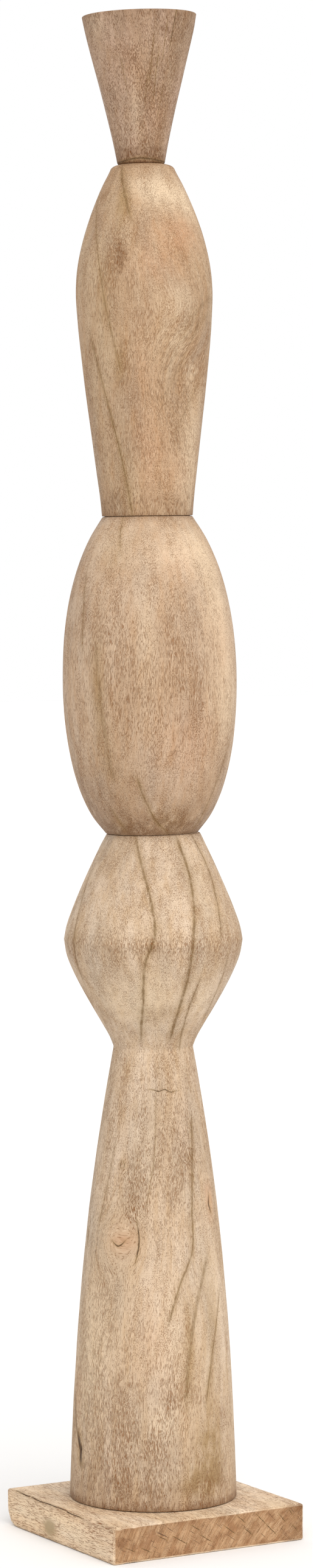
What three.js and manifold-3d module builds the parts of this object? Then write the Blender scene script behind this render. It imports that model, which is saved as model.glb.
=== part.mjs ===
// A turned wooden totem: a tall stack of lathe-turned forms on a square board.
// The leg and hips are one block; the belly, torso and head are separate blocks, each joined to the one
// below by a hidden fluted dowel, and the board is screwed to the foot from beneath.
// Millimetres, +Z up. The origin is the centre of the board's underside, and X and Y run along its sides.

import * as THREE from "three";
import { mergeVertices } from "three/addons/utils/BufferGeometryUtils.js";
import Module from "manifold-3d";

const wasm = await Module();
wasm.setup();

// ---- Board ----
const boardWidth = 133; // along X
const boardDepth = 130; // along Y, the way its grain runs
const boardThickness = 22.2;
const boardEdgeChamfer = 0.8;
const boardCornerRadius = 2;
const columnOffset = { x: 0.9, y: 2.6 }; // the column stands a little off the board's centre

// ---- Leg and hips, one block ----
const legHeight = 274.3;
const footRadius = 50.8;
const waistRadius = 24;
const hipsHeight = 128.9;
const hipsRadius = 54;
const hipsRidgeHeight = 64.8; // above the waist
const hipsTopRadius = 28.2;

// ---- Belly ----
const bellyHeight = 190.5;
const bellyBottomRadius = 27.8;
const bellyRadius = 52.4;
const bellyWidestHeight = 92; // above its underside
const bellyTopRadius = 27;

// ---- Torso ----
const torsoHeight = 209.4;
const torsoBottomRadius = 27.3;
const shoulderRadius = 41;
const shoulderHeight = 135; // above its underside
const torsoTopRadius = 17.2;
const torsoTopRounding = 2.6;

// ---- Head ----
const headHeight = 89.1;
const neckRadius = 14;
const crownRadius = 34.4;
const neckEdgeChamfer = 0.8;

// ---- How the blocks sit on each other ----
const leanHeading = 149; // degrees from +X towards +Y
const stackLean = 0.8; // the hips are trimmed this many degrees out of square, so all above them leans
const crownTilt = 1; // the crown is trimmed out of square too
const bellyShift = 0.9; // glued off centre, towards the lean
const headShift = 0.85;
const seamGap = 0.3; // a thin glue line under each block
const trimAllowance = 1.5; // turned over length, then trimmed

// ---- Fluted dowels, half in each block ----
const dowelDiameter = 16;
const dowelLength = 60;
const neckDowelDiameter = 12;
const neckDowelLength = 50;
const dowelFlutes = 12;
const fluteDepth = 0.5;
const dowelChamfer = 1.2;
const dowelClearance = 0.3; // round the dowel
const boreEndSpace = 1.5; // room for glue past each end

// ---- Countersunk wood screws, up through the board into the foot ----
const screwSpacing = 44; // centre to centre along X and Y
const screwLength = 50;
const screwHeadRadius = 4.75;
const screwHeadHeight = 2.8;
const screwSink = 0.8; // how far the head sits inside the underside
const screwShankRadius = 2.4;
const screwCoreRadius = 1.7;
const screwThreadPitch = 2.8;
const screwPlainLength = 20; // head and smooth shank, before the thread
const screwTipLength = 5;
const screwClearance = 0.3;
const recessWidth = 1.1; // the cross in the head
const recessSpan = 4.6;
const recessDepth = 1.6;

// ---- Fineness of the facets ----
const turnedSides = 36;
const stretchSteps = 7;
const roundingSteps = 3;
const dowelHoleSides = 24;
const screwSides = 10;
const cutterMargin = 1; // how far a cutting shape reaches past what it cuts

// ---- Heights of the seams above the underside ----
const footZ = boardThickness + seamGap;
const hipsTopZ = boardThickness + legHeight + hipsHeight;

// ---- Materials ----
function wood(name, color) {
  return new THREE.MeshStandardMaterial({ name, color, roughness: 0.72, metalness: 0 });
}
const boardWood = () => wood("board_wood", 0xd7af82);
const turnedWood = () => wood("turned_wood", 0xcbab84);
const headWood = () => wood("head_wood", 0xbe9b78);
const dowelWood = () => wood("dowel_wood", 0xdcc09a);
const screwSteel = () =>
  new THREE.MeshStandardMaterial({ name: "screw_steel", color: 0xc9b27a, roughness: 0.35, metalness: 1 });

// ---- Solids ----

// A closed geometry as a solid that can be cut.
function solidOf(geometry) {
  const bare = geometry.clone();
  bare.deleteAttribute("normal");
  bare.deleteAttribute("uv");
  const merged = mergeVertices(bare, 1e-4);
  const mesh = new wasm.Mesh({
    numProp: 3,
    vertProperties: merged.attributes.position.array,
    triVerts: new Uint32Array(merged.index.array),
  });
  return new wasm.Manifold(mesh);
}

// A solid as a geometry again.
function geometryOf(solid) {
  const { vertProperties, triVerts } = solid.getMesh();
  const geometry = new THREE.BufferGeometry();
  geometry.setAttribute("position", new THREE.BufferAttribute(vertProperties, 3));
  geometry.setIndex(new THREE.BufferAttribute(triVerts, 1));
  geometry.computeVertexNormals();
  return geometry;
}

function node(name, geometry, material) {
  const mesh = new THREE.Mesh(geometry, material);
  mesh.name = name;
  return mesh;
}

// ---- Turned outlines ----
// An outline runs up through stations. A station is {z, r, slope, below, above}: a height, a radius, the outline's
// slope there in degrees from the axis, and how far the curve keeps to that slope below and above the station, as
// shares of the stretch's height.

function along(station, distance) {
  const slope = THREE.MathUtils.degToRad(station.slope);
  return new THREE.Vector2(station.r + Math.sin(slope) * distance, station.z + Math.cos(slope) * distance);
}

// The points of the smooth stretch between two stations, without its first.
function stretch(from, to) {
  const height = to.z - from.z;
  const curve = new THREE.CubicBezierCurve(
    new THREE.Vector2(from.r, from.z),
    along(from, from.above * height),
    along(to, -to.below * height),
    new THREE.Vector2(to.r, to.z),
  );
  return curve.getPoints(stretchSteps).slice(1);
}

// Turns an outline about the Z axis. It closes onto the axis at both ends.
function turned(outline, sides) {
  const first = outline[0];
  const last = outline[outline.length - 1];
  const closed = [new THREE.Vector2(0, first.y), ...outline, new THREE.Vector2(0, last.y)];
  return new THREE.LatheGeometry(closed, sides).rotateX(Math.PI / 2);
}

// The quaternion that leans +Z towards the lean's heading.
function leanBy(degrees) {
  const heading = THREE.MathUtils.degToRad(leanHeading);
  const axis = new THREE.Vector3(-Math.sin(heading), Math.cos(heading), 0);
  return new THREE.Quaternion().setFromAxisAngle(axis, THREE.MathUtils.degToRad(degrees));
}

function towardsLean(distance) {
  const heading = THREE.MathUtils.degToRad(leanHeading);
  return new THREE.Vector3(Math.cos(heading) * distance, Math.sin(heading) * distance, 0);
}

// Saws off all that is above a height, on a plane leaned out of square.
function trimAbove(solid, z, degrees, radius) {
  const size = 4 * radius;
  const blade = new THREE.BoxGeometry(size, size, size)
    .translate(0, 0, size / 2)
    .applyQuaternion(leanBy(degrees))
    .translate(0, 0, z);
  return solid.subtract(solidOf(blade));
}

// ---- Dowels and their bores ----

function fluteOutline(radius) {
  const pointsPerFlute = 4;
  const count = dowelFlutes * pointsPerFlute;
  return Array.from({ length: count }, (_, i) => {
    const depth = i % pointsPerFlute === 0 ? fluteDepth : 0;
    const angle = (i / count) * 2 * Math.PI;
    return new THREE.Vector2(Math.cos(angle), Math.sin(angle)).multiplyScalar(radius - depth);
  });
}

// A fluted dowel with chamfered ends, centred on the origin.
function dowel(diameter, length) {
  const shape = new THREE.Shape(fluteOutline(diameter / 2));
  return new THREE.ExtrudeGeometry(shape, {
    depth: length - 2 * dowelChamfer,
    bevelThickness: dowelChamfer,
    bevelSize: dowelChamfer,
    bevelOffset: -dowelChamfer,
    bevelSegments: 1,
  }).translate(0, 0, dowelChamfer - length / 2);
}

// What a dowel centred at a height takes out of the blocks that it joins.
function dowelBore(diameter, length, z) {
  const radius = diameter / 2 + dowelClearance;
  const depth = length + 2 * boreEndSpace;
  const bore = new THREE.CylinderGeometry(radius, radius, depth, dowelHoleSides);
  return solidOf(bore.rotateX(Math.PI / 2).translate(0, 0, z));
}

// ---- Screws and their holes ----

const screwPlaces = [
  [-1, -1],
  [1, -1],
  [1, 1],
  [-1, 1],
].map(([x, y]) => ({
  x: columnOffset.x + (x * screwSpacing) / 2,
  y: columnOffset.y + (y * screwSpacing) / 2,
}));

// The outline of a screw, head at the bottom, with its thread as rings.
function screwOutline() {
  const outline = [
    new THREE.Vector2(screwHeadRadius, 0),
    new THREE.Vector2(screwShankRadius, screwHeadHeight),
    new THREE.Vector2(screwShankRadius, screwPlainLength - screwThreadPitch / 2),
  ];
  const threaded = screwLength - screwTipLength - screwPlainLength;
  const turns = Math.floor(threaded / screwThreadPitch);
  for (let turn = 0; turn < turns; turn += 1) {
    const z = screwPlainLength + turn * screwThreadPitch;
    outline.push(new THREE.Vector2(screwCoreRadius, z));
    outline.push(new THREE.Vector2(screwShankRadius, z + screwThreadPitch / 2));
  }
  outline.push(new THREE.Vector2(screwCoreRadius, screwLength - screwTipLength));
  outline.push(new THREE.Vector2(screwCoreRadius / 4, screwLength));
  return outline;
}

function screw() {
  const slot = (x, y) => solidOf(new THREE.BoxGeometry(x, y, 2 * recessDepth));
  const cross = slot(recessWidth, recessSpan).add(slot(recessSpan, recessWidth));
  return geometryOf(solidOf(turned(screwOutline(), screwSides)).subtract(cross));
}

// The clearance hole and countersink through the board, and the pilot hole in the foot.
function screwHole() {
  const headRadius = screwHeadRadius + screwClearance;
  const shankRadius = screwShankRadius + screwClearance;
  const outline = [
    new THREE.Vector2(headRadius, -cutterMargin),
    new THREE.Vector2(headRadius, screwSink),
    new THREE.Vector2(shankRadius, screwSink + screwHeadHeight),
    new THREE.Vector2(shankRadius, screwSink + screwLength + cutterMargin),
  ];
  return turned(outline, screwSides);
}

function withoutScrewHoles(solid) {
  return screwPlaces.reduce(
    (rest, place) => rest.subtract(solidOf(screwHole().translate(place.x, place.y, 0))),
    solid,
  );
}

// ---- The pieces ----

function boardSolid() {
  const x = boardWidth / 2;
  const y = boardDepth / 2;
  const r = boardCornerRadius;
  const shape = new THREE.Shape();
  shape.absarc(x - r, y - r, r, 0, Math.PI / 2);
  shape.absarc(r - x, y - r, r, Math.PI / 2, Math.PI);
  shape.absarc(r - x, r - y, r, Math.PI, 1.5 * Math.PI);
  shape.absarc(x - r, r - y, r, 1.5 * Math.PI, 2 * Math.PI);
  const blank = new THREE.ExtrudeGeometry(shape, {
    depth: boardThickness - 2 * boardEdgeChamfer,
    curveSegments: 3,
    bevelThickness: boardEdgeChamfer,
    bevelSize: boardEdgeChamfer,
    bevelOffset: -boardEdgeChamfer,
    bevelSegments: 1,
  }).translate(0, 0, boardEdgeChamfer);
  return withoutScrewHoles(solidOf(blank));
}

// The leg and hips: a long convex taper down to the waist, then a wide ridged form over it.
function legSolid() {
  const foot = { z: footZ, r: footRadius, slope: -2, above: 0.33 };
  const waist = { z: boardThickness + legHeight, r: waistRadius, slope: -10.3, below: 0.4 };
  const overWaist = { z: waist.z, r: waistRadius, slope: 11, above: 0.14 };
  const ridge = { z: waist.z + hipsRidgeHeight, r: hipsRadius, slope: 0, below: 0.28, above: 0.19 };
  const top = { z: hipsTopZ, r: hipsTopRadius, slope: -29.5, below: 0.07 };
  const outline = [
    along(foot, 0),
    ...stretch(foot, waist),
    ...stretch(overWaist, ridge),
    ...stretch(ridge, top),
    along(top, trimAllowance),
  ];
  const block = solidOf(turned(outline, turnedSides).translate(columnOffset.x, columnOffset.y, 0));
  const trimmed = trimAbove(block, hipsTopZ, stackLean, hipsRadius);
  const bore = inStack(dowelBore(dowelDiameter, dowelLength, 0));
  return withoutScrewHoles(trimmed.subtract(bore));
}

// The belly: an egg with its wide end down, cut flat at both ends.
function bellySolid() {
  const bottom = { z: seamGap, r: bellyBottomRadius, slope: 45, above: 0.31 };
  const widest = { z: bellyWidestHeight, r: bellyRadius, slope: 0, below: 0.31, above: 0.33 };
  const top = { z: bellyHeight, r: bellyTopRadius, slope: -36, below: 0.35 };
  const outline = [along(bottom, 0), ...stretch(bottom, widest), ...stretch(widest, top)];
  return solidOf(turned(outline, turnedSides))
    .subtract(dowelBore(dowelDiameter, dowelLength, 0))
    .subtract(dowelBore(dowelDiameter, dowelLength, bellyHeight));
}

// The torso: it widens slowly to the shoulder, then rounds over to a small flat top.
function torsoSolid() {
  const bottom = { z: seamGap, r: torsoBottomRadius, slope: 1, above: 0.09 };
  const shoulder = { z: shoulderHeight, r: shoulderRadius, slope: 0, below: 0.25, above: 0.41 };
  const top = { z: torsoHeight, r: torsoTopRadius, slope: -42, below: 0.09 };
  const rounding = new THREE.QuadraticBezierCurve(
    along(top, -torsoTopRounding),
    new THREE.Vector2(top.r, top.z),
    new THREE.Vector2(top.r - torsoTopRounding / 2, top.z),
  );
  const outline = [
    along(bottom, 0),
    ...stretch(bottom, shoulder),
    ...stretch(shoulder, top).slice(0, -1),
    ...rounding.getPoints(roundingSteps),
  ];
  return solidOf(turned(outline, turnedSides))
    .subtract(dowelBore(dowelDiameter, dowelLength, 0))
    .subtract(dowelBore(neckDowelDiameter, neckDowelLength, torsoHeight));
}

// The head: an upturned cone whose sides flare a little, with a flat crown. Its bore is off its own centre by
// the shift, so that it still meets the dowel.
function headSolid() {
  const bottom = { z: seamGap, r: neckRadius, slope: 9.3, above: 0.31 };
  const crown = { z: headHeight, r: crownRadius, slope: 8.5, below: 0.17 };
  const outline = [
    new THREE.Vector2(neckRadius - neckEdgeChamfer, seamGap),
    along(bottom, neckEdgeChamfer),
    ...stretch(bottom, crown),
    along(crown, trimAllowance),
  ];
  const shift = towardsLean(headShift);
  const block = solidOf(turned(outline, turnedSides).translate(shift.x, shift.y, 0));
  return trimAbove(block, headHeight, crownTilt, crownRadius).subtract(
    dowelBore(neckDowelDiameter, neckDowelLength, 0),
  );
}

// ---- Assembly ----
// The stack above the hips shares one leaning frame, whose origin is the middle of the hips' top.

function stackFrame() {
  const frame = new THREE.Group();
  frame.position.set(columnOffset.x, columnOffset.y, hipsTopZ).add(towardsLean(bellyShift));
  frame.quaternion.copy(leanBy(stackLean));
  return frame;
}

// A solid made in the stack's frame, carried into the part's frame.
function inStack(solid) {
  const frame = stackFrame();
  frame.updateMatrix();
  return solid.transform(frame.matrix.toArray());
}

function raised(mesh, z) {
  mesh.position.z += z;
  return mesh;
}

const part = new THREE.Group();
part.add(node("base_board", geometryOf(boardSolid()), boardWood()));
part.add(node("leg_and_hips", geometryOf(legSolid()), turnedWood()));

const torsoZ = bellyHeight;
const headZ = bellyHeight + torsoHeight;

const stack = stackFrame();
stack.add(node("belly", geometryOf(bellySolid()), turnedWood()));
stack.add(raised(node("torso", geometryOf(torsoSolid()), turnedWood()), torsoZ));
stack.add(node("belly_dowel", dowel(dowelDiameter, dowelLength), dowelWood()));
stack.add(raised(node("torso_dowel", dowel(dowelDiameter, dowelLength), dowelWood()), torsoZ));
stack.add(raised(node("head_dowel", dowel(neckDowelDiameter, neckDowelLength), dowelWood()), headZ));
stack.add(raised(node("head", geometryOf(headSolid()), headWood()), headZ));
part.add(stack);

screwPlaces.forEach((place, i) => {
  const mesh = node(`base_screw_${i + 1}`, screw(), screwSteel());
  mesh.position.set(place.x, place.y, screwSink);
  part.add(mesh);
});

export default part;
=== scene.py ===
"""The looks of a turned wooden totem: a board, four turned blocks, their dowels and the board's screws.

Every block is turned again, finer, from the outline of its CAD node. The wood's figure comes from smooth
fields stored on the meshes, and the shaders draw the fine detail from them:

grain: the place in the tree, in millimetres, with the third number along the fibres.
line_0, line_1 and so on: the distance from a dark line or crack, its strength there and its half width.
tones: olive, brown and pink staining; the brown also holds painted shade at seams, round the leg's foot,
under the belly and on the board's top. faces: roughness, pale patches that also hold painted light on lit
sides, and dirt at the rims, with painted shade at the seams.
end: 1 where the wood is sawn across. filler: 1 on the board's filled knot.
"""

import math
from collections import namedtuple

import bmesh
import bpy
import numpy as np
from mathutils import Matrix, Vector, noise


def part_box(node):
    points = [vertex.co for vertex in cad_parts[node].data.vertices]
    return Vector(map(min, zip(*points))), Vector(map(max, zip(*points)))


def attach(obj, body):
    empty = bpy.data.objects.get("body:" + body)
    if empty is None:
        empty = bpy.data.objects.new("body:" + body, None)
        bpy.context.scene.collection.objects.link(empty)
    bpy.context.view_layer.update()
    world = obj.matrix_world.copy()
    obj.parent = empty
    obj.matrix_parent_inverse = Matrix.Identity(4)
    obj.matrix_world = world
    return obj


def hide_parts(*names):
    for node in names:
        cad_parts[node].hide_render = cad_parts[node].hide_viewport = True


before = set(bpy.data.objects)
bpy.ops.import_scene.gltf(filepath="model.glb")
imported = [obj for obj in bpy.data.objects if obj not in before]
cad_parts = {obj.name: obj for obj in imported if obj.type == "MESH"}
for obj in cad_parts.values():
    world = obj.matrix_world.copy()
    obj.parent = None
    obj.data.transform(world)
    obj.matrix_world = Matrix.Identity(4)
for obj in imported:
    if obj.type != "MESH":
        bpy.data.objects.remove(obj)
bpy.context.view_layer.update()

MM = 0.001
SCREWS = sorted(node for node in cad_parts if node.startswith("base_screw"))

# ---- The view: a long lens a little above the middle of the column ----
VIEW_AZIMUTH = -30.8  # degrees
CAMERA_DISTANCE = 2.665
CAMERA_HEIGHT = 0.6025
CAMERA_PITCH = -3.17  # degrees, downwards
CAMERA_PAN = -0.042
LENS = 101.7
SENSOR = 36.0
CLIP_END = 30
FRONT_HEADING = VIEW_AZIMUTH - 90  # degrees, from the column towards the camera

# ---- The light and the floor ----
SKY_STRENGTH = 1.0
KEY_AZIMUTH = 20  # degrees to the right of the camera
KEY_ELEVATION = 38  # degrees
KEY_STRENGTH = 2.0
KEY_SPREAD = 60  # degrees
KEY_COLOUR = (1, 0.985, 0.955)
FLOOR_REACH = 12
FLOOR_DROP = 0.05 * MM  # the board stands this much clear of the floor

# ---- Fineness of the meshes ----
TURNED_SEGMENTS = 240
SMALL_SEGMENTS = 72
RING_STEP = 1.6 * MM
CAP_STEP = 4 * MM
BOARD_STEP = 1.5 * MM
SAME_PLACE = 0.001 * MM  # corners nearer than this are one

# ---- Reading the CAD outlines ----
BORE_LIMIT = 11 * MM  # nothing nearer a turned block's axis than this is its outer surface
FOOT_BAND = 0.1 * MM  # corners this near the lowest one belong to the foot
RIM_BAND = 0.05 * MM  # corners this near the sawn top are its rim
TOP_CLEAR = 0.4 * MM  # and the rings below keep this far from it
RING_GAP = 0.01 * MM  # rings are further apart than this
RING_SPREAD = 0.1 * MM  # the corners of one ring differ less than this in radius
RING_CORNERS = 30  # a full ring of an outline has at least this many corners
SHARP_TURN = 20  # degrees between two facets from which an outline has a real corner
TILT_REACH = 8 * MM  # how far under a sawn top the outline follows its tilt

# ---- Eased edges ----
EDGE_EASE = 0.6 * MM
SEAM_EASE = 0.35 * MM
CROWN_EASE = 1.4 * MM
FOOT_EASE = 1.0 * MM
WAIST_EASE = 1.2 * MM
BOARD_EASE = 1.6 * MM
SEAT_RIM = 0.5 * MM  # a seam is open this far in
SEAT_RISE = 0.22 * MM
MOST_EASED = 0.45  # of the way to the next point

# ---- How far the wood is from true ----
WAVE_DEPTH = 0.16 * MM
WAVE_LENGTH = 28 * MM

# ---- Clearances round what is inside ----
DOWEL_CLEARANCE = 0.3 * MM
DOWEL_END_SPACE = 1.5 * MM
DOWEL_FLUTES = 12
FLUTE_DEPTH = 0.5 * MM
DOWEL_CHAMFER = 1.2 * MM
SCREW_CLEARANCE = 0.3 * MM
SCREW_HEAD_HEIGHT = 2.8 * MM
SCREW_HEAD_RIM = 0.25 * MM
SCREW_FACE_STEP = 0.15 * MM
SCREW_SHANK_RADIUS = 2.4 * MM
SCREW_CORE_RADIUS = 1.7 * MM
SCREW_PITCH = 2.8 * MM
RINGS_PER_PITCH = 8
THREAD_SHARPNESS = 3.2
TIP_TAPER = 0.85
SCREW_FACE_BAND = 0.1 * MM  # only the screw's face, this deep, is sunk in its recess
CUT_MARGIN = 1 * MM  # the cutters reach this far past what they cut
SCREW_PLAIN_LENGTH = 20 * MM
SCREW_TIP_LENGTH = 5 * MM
RECESS_WIDTH = 1.1 * MM
RECESS_SPAN = 4.6 * MM
RECESS_DEPTH = 1.6 * MM


# ======== Numbers and curves ========

def smoothstep(low, high, value):
    """From 0 at low to 1 at high, level past both."""
    t = np.clip((np.asarray(value, float) - low) / (high - low), 0, 1)
    return t * t * (3 - 2 * t)


def spot(distance):
    """1 at the middle of a spot, falling smoothly to nothing round it."""
    return np.exp(-np.asarray(distance, float) ** 2)


def glide(xs, ys, x):
    """A smooth curve through the points, held level past its ends."""
    xs, ys = np.asarray(xs, float), np.asarray(ys, float)
    x = np.clip(x, xs[0], xs[-1])
    slopes = np.gradient(ys, xs)
    i = np.clip(np.searchsorted(xs, x) - 1, 0, len(xs) - 2)
    width = xs[i + 1] - xs[i]
    t = (x - xs[i]) / width
    rise = ys[i] * (2 * t**3 - 3 * t**2 + 1) + ys[i + 1] * (3 * t**2 - 2 * t**3)
    lean = slopes[i] * (t**3 - 2 * t**2 + t) + slopes[i + 1] * (t**3 - t**2)
    return rise + width * lean


def smooth_run(points, step):
    """The points of one smooth stretch of an outline, filled in along a curve."""
    lengths = np.r_[0, np.cumsum(np.hypot(*np.diff(points, axis=0).T))]
    at = np.linspace(0, lengths[-1], max(len(points), round(lengths[-1] / step) + 1))
    return np.stack([glide(lengths, points[:, k], at) for k in (0, 1)], axis=1)


def eased(before, corner, after, size, steps=4):
    """A rounded corner between two points."""
    start = corner + (before - corner) * min(MOST_EASED, size / np.hypot(*(before - corner)))
    end = corner + (after - corner) * min(MOST_EASED, size / np.hypot(*(after - corner)))
    t = np.linspace(0, 1, steps + 1)[:, None]
    return (1 - t) ** 2 * start + 2 * t * (1 - t) * corner + t**2 * end


# ======== Measuring the turned CAD nodes ========

def points_of(mesh):
    """A mesh's points, as rows of three numbers."""
    points = np.empty(len(mesh.vertices) * 3)
    mesh.vertices.foreach_get("co", points)
    return points.reshape(-1, 3)


def flat_normal(mesh, way):
    """The mean normal of the faces that look nearly that way."""
    total = Vector()
    for face in mesh.polygons:
        if face.normal.dot(way) > 0.99:
            total += face.normal * face.area
    return total.normalized()


class Rod:
    """A round CAD node's own frame: its axis, the middle of its foot, its length and its greatest radius."""

    def __init__(self, node):
        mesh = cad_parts[node].data
        points = np.unique(np.round(points_of(mesh), 6), axis=0)
        self.axis = -flat_normal(mesh, Vector((0, 0, -1)))
        self.x = (Vector((1, 0, 0)) - self.axis * self.axis.x).normalized()
        self.y = self.axis.cross(self.x)
        height = points @ np.array(self.axis)
        foot = points[height < height.min() + FOOT_BAND]
        reach = np.linalg.norm(foot - foot.mean(0), axis=1)
        self.centre = Vector(foot[reach > 0.8 * reach.max()].mean(0))
        self.length = height.max() - height.min()
        x, y, _ = self.local(points)
        self.radius = np.hypot(x, y).max()

    def local(self, points):
        offset = np.asarray(points) - np.array(self.centre)
        return offset @ np.array(self.x), offset @ np.array(self.y), offset @ np.array(self.axis)

    def world(self, x, y, height):
        across = np.outer(x, self.x) + np.outer(y, self.y)
        return np.array(self.centre) + across + np.outer(height, self.axis)

    def middle(self):
        return self.centre + self.axis * self.length / 2


class Turning(Rod):
    """A turned block, measured as a turner would: its outline as well, and the tilt of its sawn top."""

    def __init__(self, node):
        super().__init__(node)
        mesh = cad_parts[node].data
        x, y, height = self.local(np.unique(np.round(points_of(mesh), 6), axis=0))
        up = flat_normal(mesh, Vector((0, 0, 1)))
        self.top_slope = (-up.dot(self.x) / up.dot(self.axis), -up.dot(self.y) / up.dot(self.axis))
        level = height - self.top_slope[0] * x - self.top_slope[1] * y
        self.top = level.max()
        self.outline = self.read_outline(np.hypot(x, y), height, level)

    def read_outline(self, radius, height, level):
        """(height, radius) of each full ring of corners on the outer surface, foot to top."""
        rim = (level > self.top - RIM_BAND) & (radius > BORE_LIMIT)
        outer = (level < self.top - TOP_CLEAR) & (radius > BORE_LIMIT)
        order = np.argsort(height[outer])
        heights, radii = height[outer][order], radius[outer][order]
        breaks = np.where(np.diff(heights) > RING_GAP)[0] + 1
        rings = []
        for group in np.split(np.arange(len(heights)), breaks):
            widest = radii[group].max()
            if (radii[group] > widest - RING_SPREAD).sum() >= RING_CORNERS:
                rings.append((heights[group].mean(), widest))
        rings.append((self.top, radius[rim].mean()))
        return np.array(rings)


def smooth_outline(outline, foot_ease, top_ease):
    """The outline filled in finely, with its corners eased, from its foot edge to its top edge."""
    rises = np.diff(outline, axis=0)
    directions = np.degrees(np.arctan2(rises[:, 1], rises[:, 0]))
    corners = [i + 1 for i, turn in enumerate(np.abs(np.diff(directions))) if turn > SHARP_TURN]
    ends = [0, *corners, len(outline) - 1]
    runs = [smooth_run(outline[a : b + 1], RING_STEP) for a, b in zip(ends, ends[1:])]
    inwards = np.array([0, 10 * MM])
    parts = [eased(outline[0] - inwards, runs[0][0], runs[0][1], foot_ease)]
    for run, following in zip(runs, runs[1:]):
        parts.append(run[1:-1])
        parts.append(eased(run[-2], run[-1], following[1], WAIST_EASE))
    parts.append(runs[-1][1:-1])
    parts.append(eased(runs[-1][-2], runs[-1][-1], outline[-1] - inwards, top_ease))
    return np.vstack(parts)


# ======== Building meshes ========

# One ring of a turned mesh. follow says how much of the sawn top's tilt it takes.
Ring = namedtuple("Ring", "height radius shift follow", defaults=((0, 0), 0))


def new_piece(name, points, faces):
    """A smooth object made of these points and faces."""
    mesh = bpy.data.meshes.new(name)
    mesh.from_pydata(np.asarray(points).tolist(), [], faces)
    mesh.update()
    mesh.shade_smooth()
    piece = bpy.data.objects.new(name, mesh)
    bpy.context.scene.collection.objects.link(piece)
    return piece


def ring_faces(rings, segments):
    """The faces of a closed skin of rings, with a fan at each end."""
    j = np.arange(segments)
    k = (j + 1) % segments
    faces = np.stack([0 * j, 1 + k, 1 + j], axis=1).tolist()
    for i in range(rings - 1):
        a, b = 1 + i * segments, 1 + (i + 1) * segments
        faces.extend(np.stack([a + j, a + k, b + k, b + j], axis=1).tolist())
    last = 1 + (rings - 1) * segments
    faces.extend(np.stack([last + j, last + k, 0 * j + last + segments], axis=1).tolist())
    return faces


def ring_points(rod, rings, segments, top_slope=(0, 0)):
    """The points of the rings, with a middle point before the first and after the last."""
    angles = np.arange(segments) * 2 * math.pi / segments
    first, last = rings[0]._replace(radius=0), rings[-1]._replace(radius=0)
    rows = []
    for ring, count in [(first, 1), *((ring, segments) for ring in rings), (last, 1)]:
        x = ring.shift[0] + ring.radius * np.cos(angles[:count])
        y = ring.shift[1] + ring.radius * np.sin(angles[:count])
        tilt = ring.follow * (top_slope[0] * x + top_slope[1] * y)
        rows.append(rod.world(x, y, ring.height + tilt))
    return np.vstack(rows)


def cap_rings(height, outer, inner, shift=(0, 0), follow=0):
    """Flat rings from a big radius in to a small one, sliding over to the small one's own middle."""
    count = max(1, round((outer - inner) / CAP_STEP))
    shares = np.linspace(0, 1, count + 1)[1:]
    return [
        Ring(height, outer + (inner - outer) * s, (shift[0] * s, shift[1] * s), follow) for s in shares
    ]


def bore_rings(turning, dowel, mouth, follow):
    """The rings of a dowel's blind hole, from its mouth in, and its mouth's radius and middle."""
    rod = Rod(dowel)
    x, y, height = (value[0] for value in turning.local([rod.middle()]))
    radius = rod.radius + DOWEL_CLEARANCE
    inwards = 1 if mouth < turning.length / 2 else -1
    end = height + inwards * (rod.length / 2 + DOWEL_END_SPACE)
    rings = [
        Ring(mouth + inwards * EDGE_EASE, radius, (x, y), follow),
        Ring(end, radius, (x, y)),
        Ring(end, radius / 2, (x, y)),
    ]
    return rings, radius + EDGE_EASE, (x, y)


def end_rings(turning, dowel, height, outer, follow):
    """A block's end, from its rim in, with its dowel hole. A top end's seat stands a hair proud."""
    if not dowel:
        return cap_rings(height, outer, CAP_STEP / 2, follow=follow)
    rim = []
    if follow:
        rim = cap_rings(height, outer, outer - SEAT_RIM, follow=follow)
        height, outer = height + SEAT_RISE, outer - SEAT_RIM
        rim.append(Ring(height, outer, (0, 0), follow))
    bore, mouth_radius, shift = bore_rings(turning, dowel, height, follow)
    return rim + cap_rings(height, outer, mouth_radius, shift, follow) + bore


def turned_block(node, foot_dowel=None, top_dowel=None, foot_ease=EDGE_EASE, top_ease=EDGE_EASE):
    """Turns a CAD node again, finer, with its corners eased and its dowel holes bored."""
    turning = Turning(node)
    side = smooth_outline(turning.outline, foot_ease, top_ease)
    rings = end_rings(turning, foot_dowel, 0, side[0, 1], 0)[::-1]
    for height, radius in side:
        follow = float(smoothstep(turning.top - TILT_REACH, turning.top - EDGE_EASE, height))
        rings.append(Ring(height, radius, (0, 0), follow))
    rings += end_rings(turning, top_dowel, turning.top, side[-1, 1], 1)
    points = ring_points(turning, rings, TURNED_SEGMENTS, turning.top_slope)
    piece = new_piece(node + "_wood", points, ring_faces(len(rings), TURNED_SEGMENTS))
    return piece, turning


def weld(mesh):
    """Joins the corners that a cut leaves in one place, so no sliver of a face is left between them."""
    work = bmesh.new()
    work.from_mesh(mesh)
    bmesh.ops.remove_doubles(work, verts=work.verts, dist=SAME_PLACE)
    work.to_mesh(mesh)
    work.free()


def cut(piece, cutters):
    """Cuts other pieces out of a piece, and removes them."""
    for cutter in cutters:
        modifier = piece.modifiers.new("cut", "BOOLEAN")
        modifier.operation = "DIFFERENCE"
        modifier.solver = "EXACT"
        modifier.object = cutter
    evaluated = piece.evaluated_get(bpy.context.evaluated_depsgraph_get())
    mesh = bpy.data.meshes.new_from_object(evaluated)
    weld(mesh)
    piece.modifiers.clear()
    piece.data = mesh
    for cutter in cutters:
        bpy.data.objects.remove(cutter)


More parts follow.
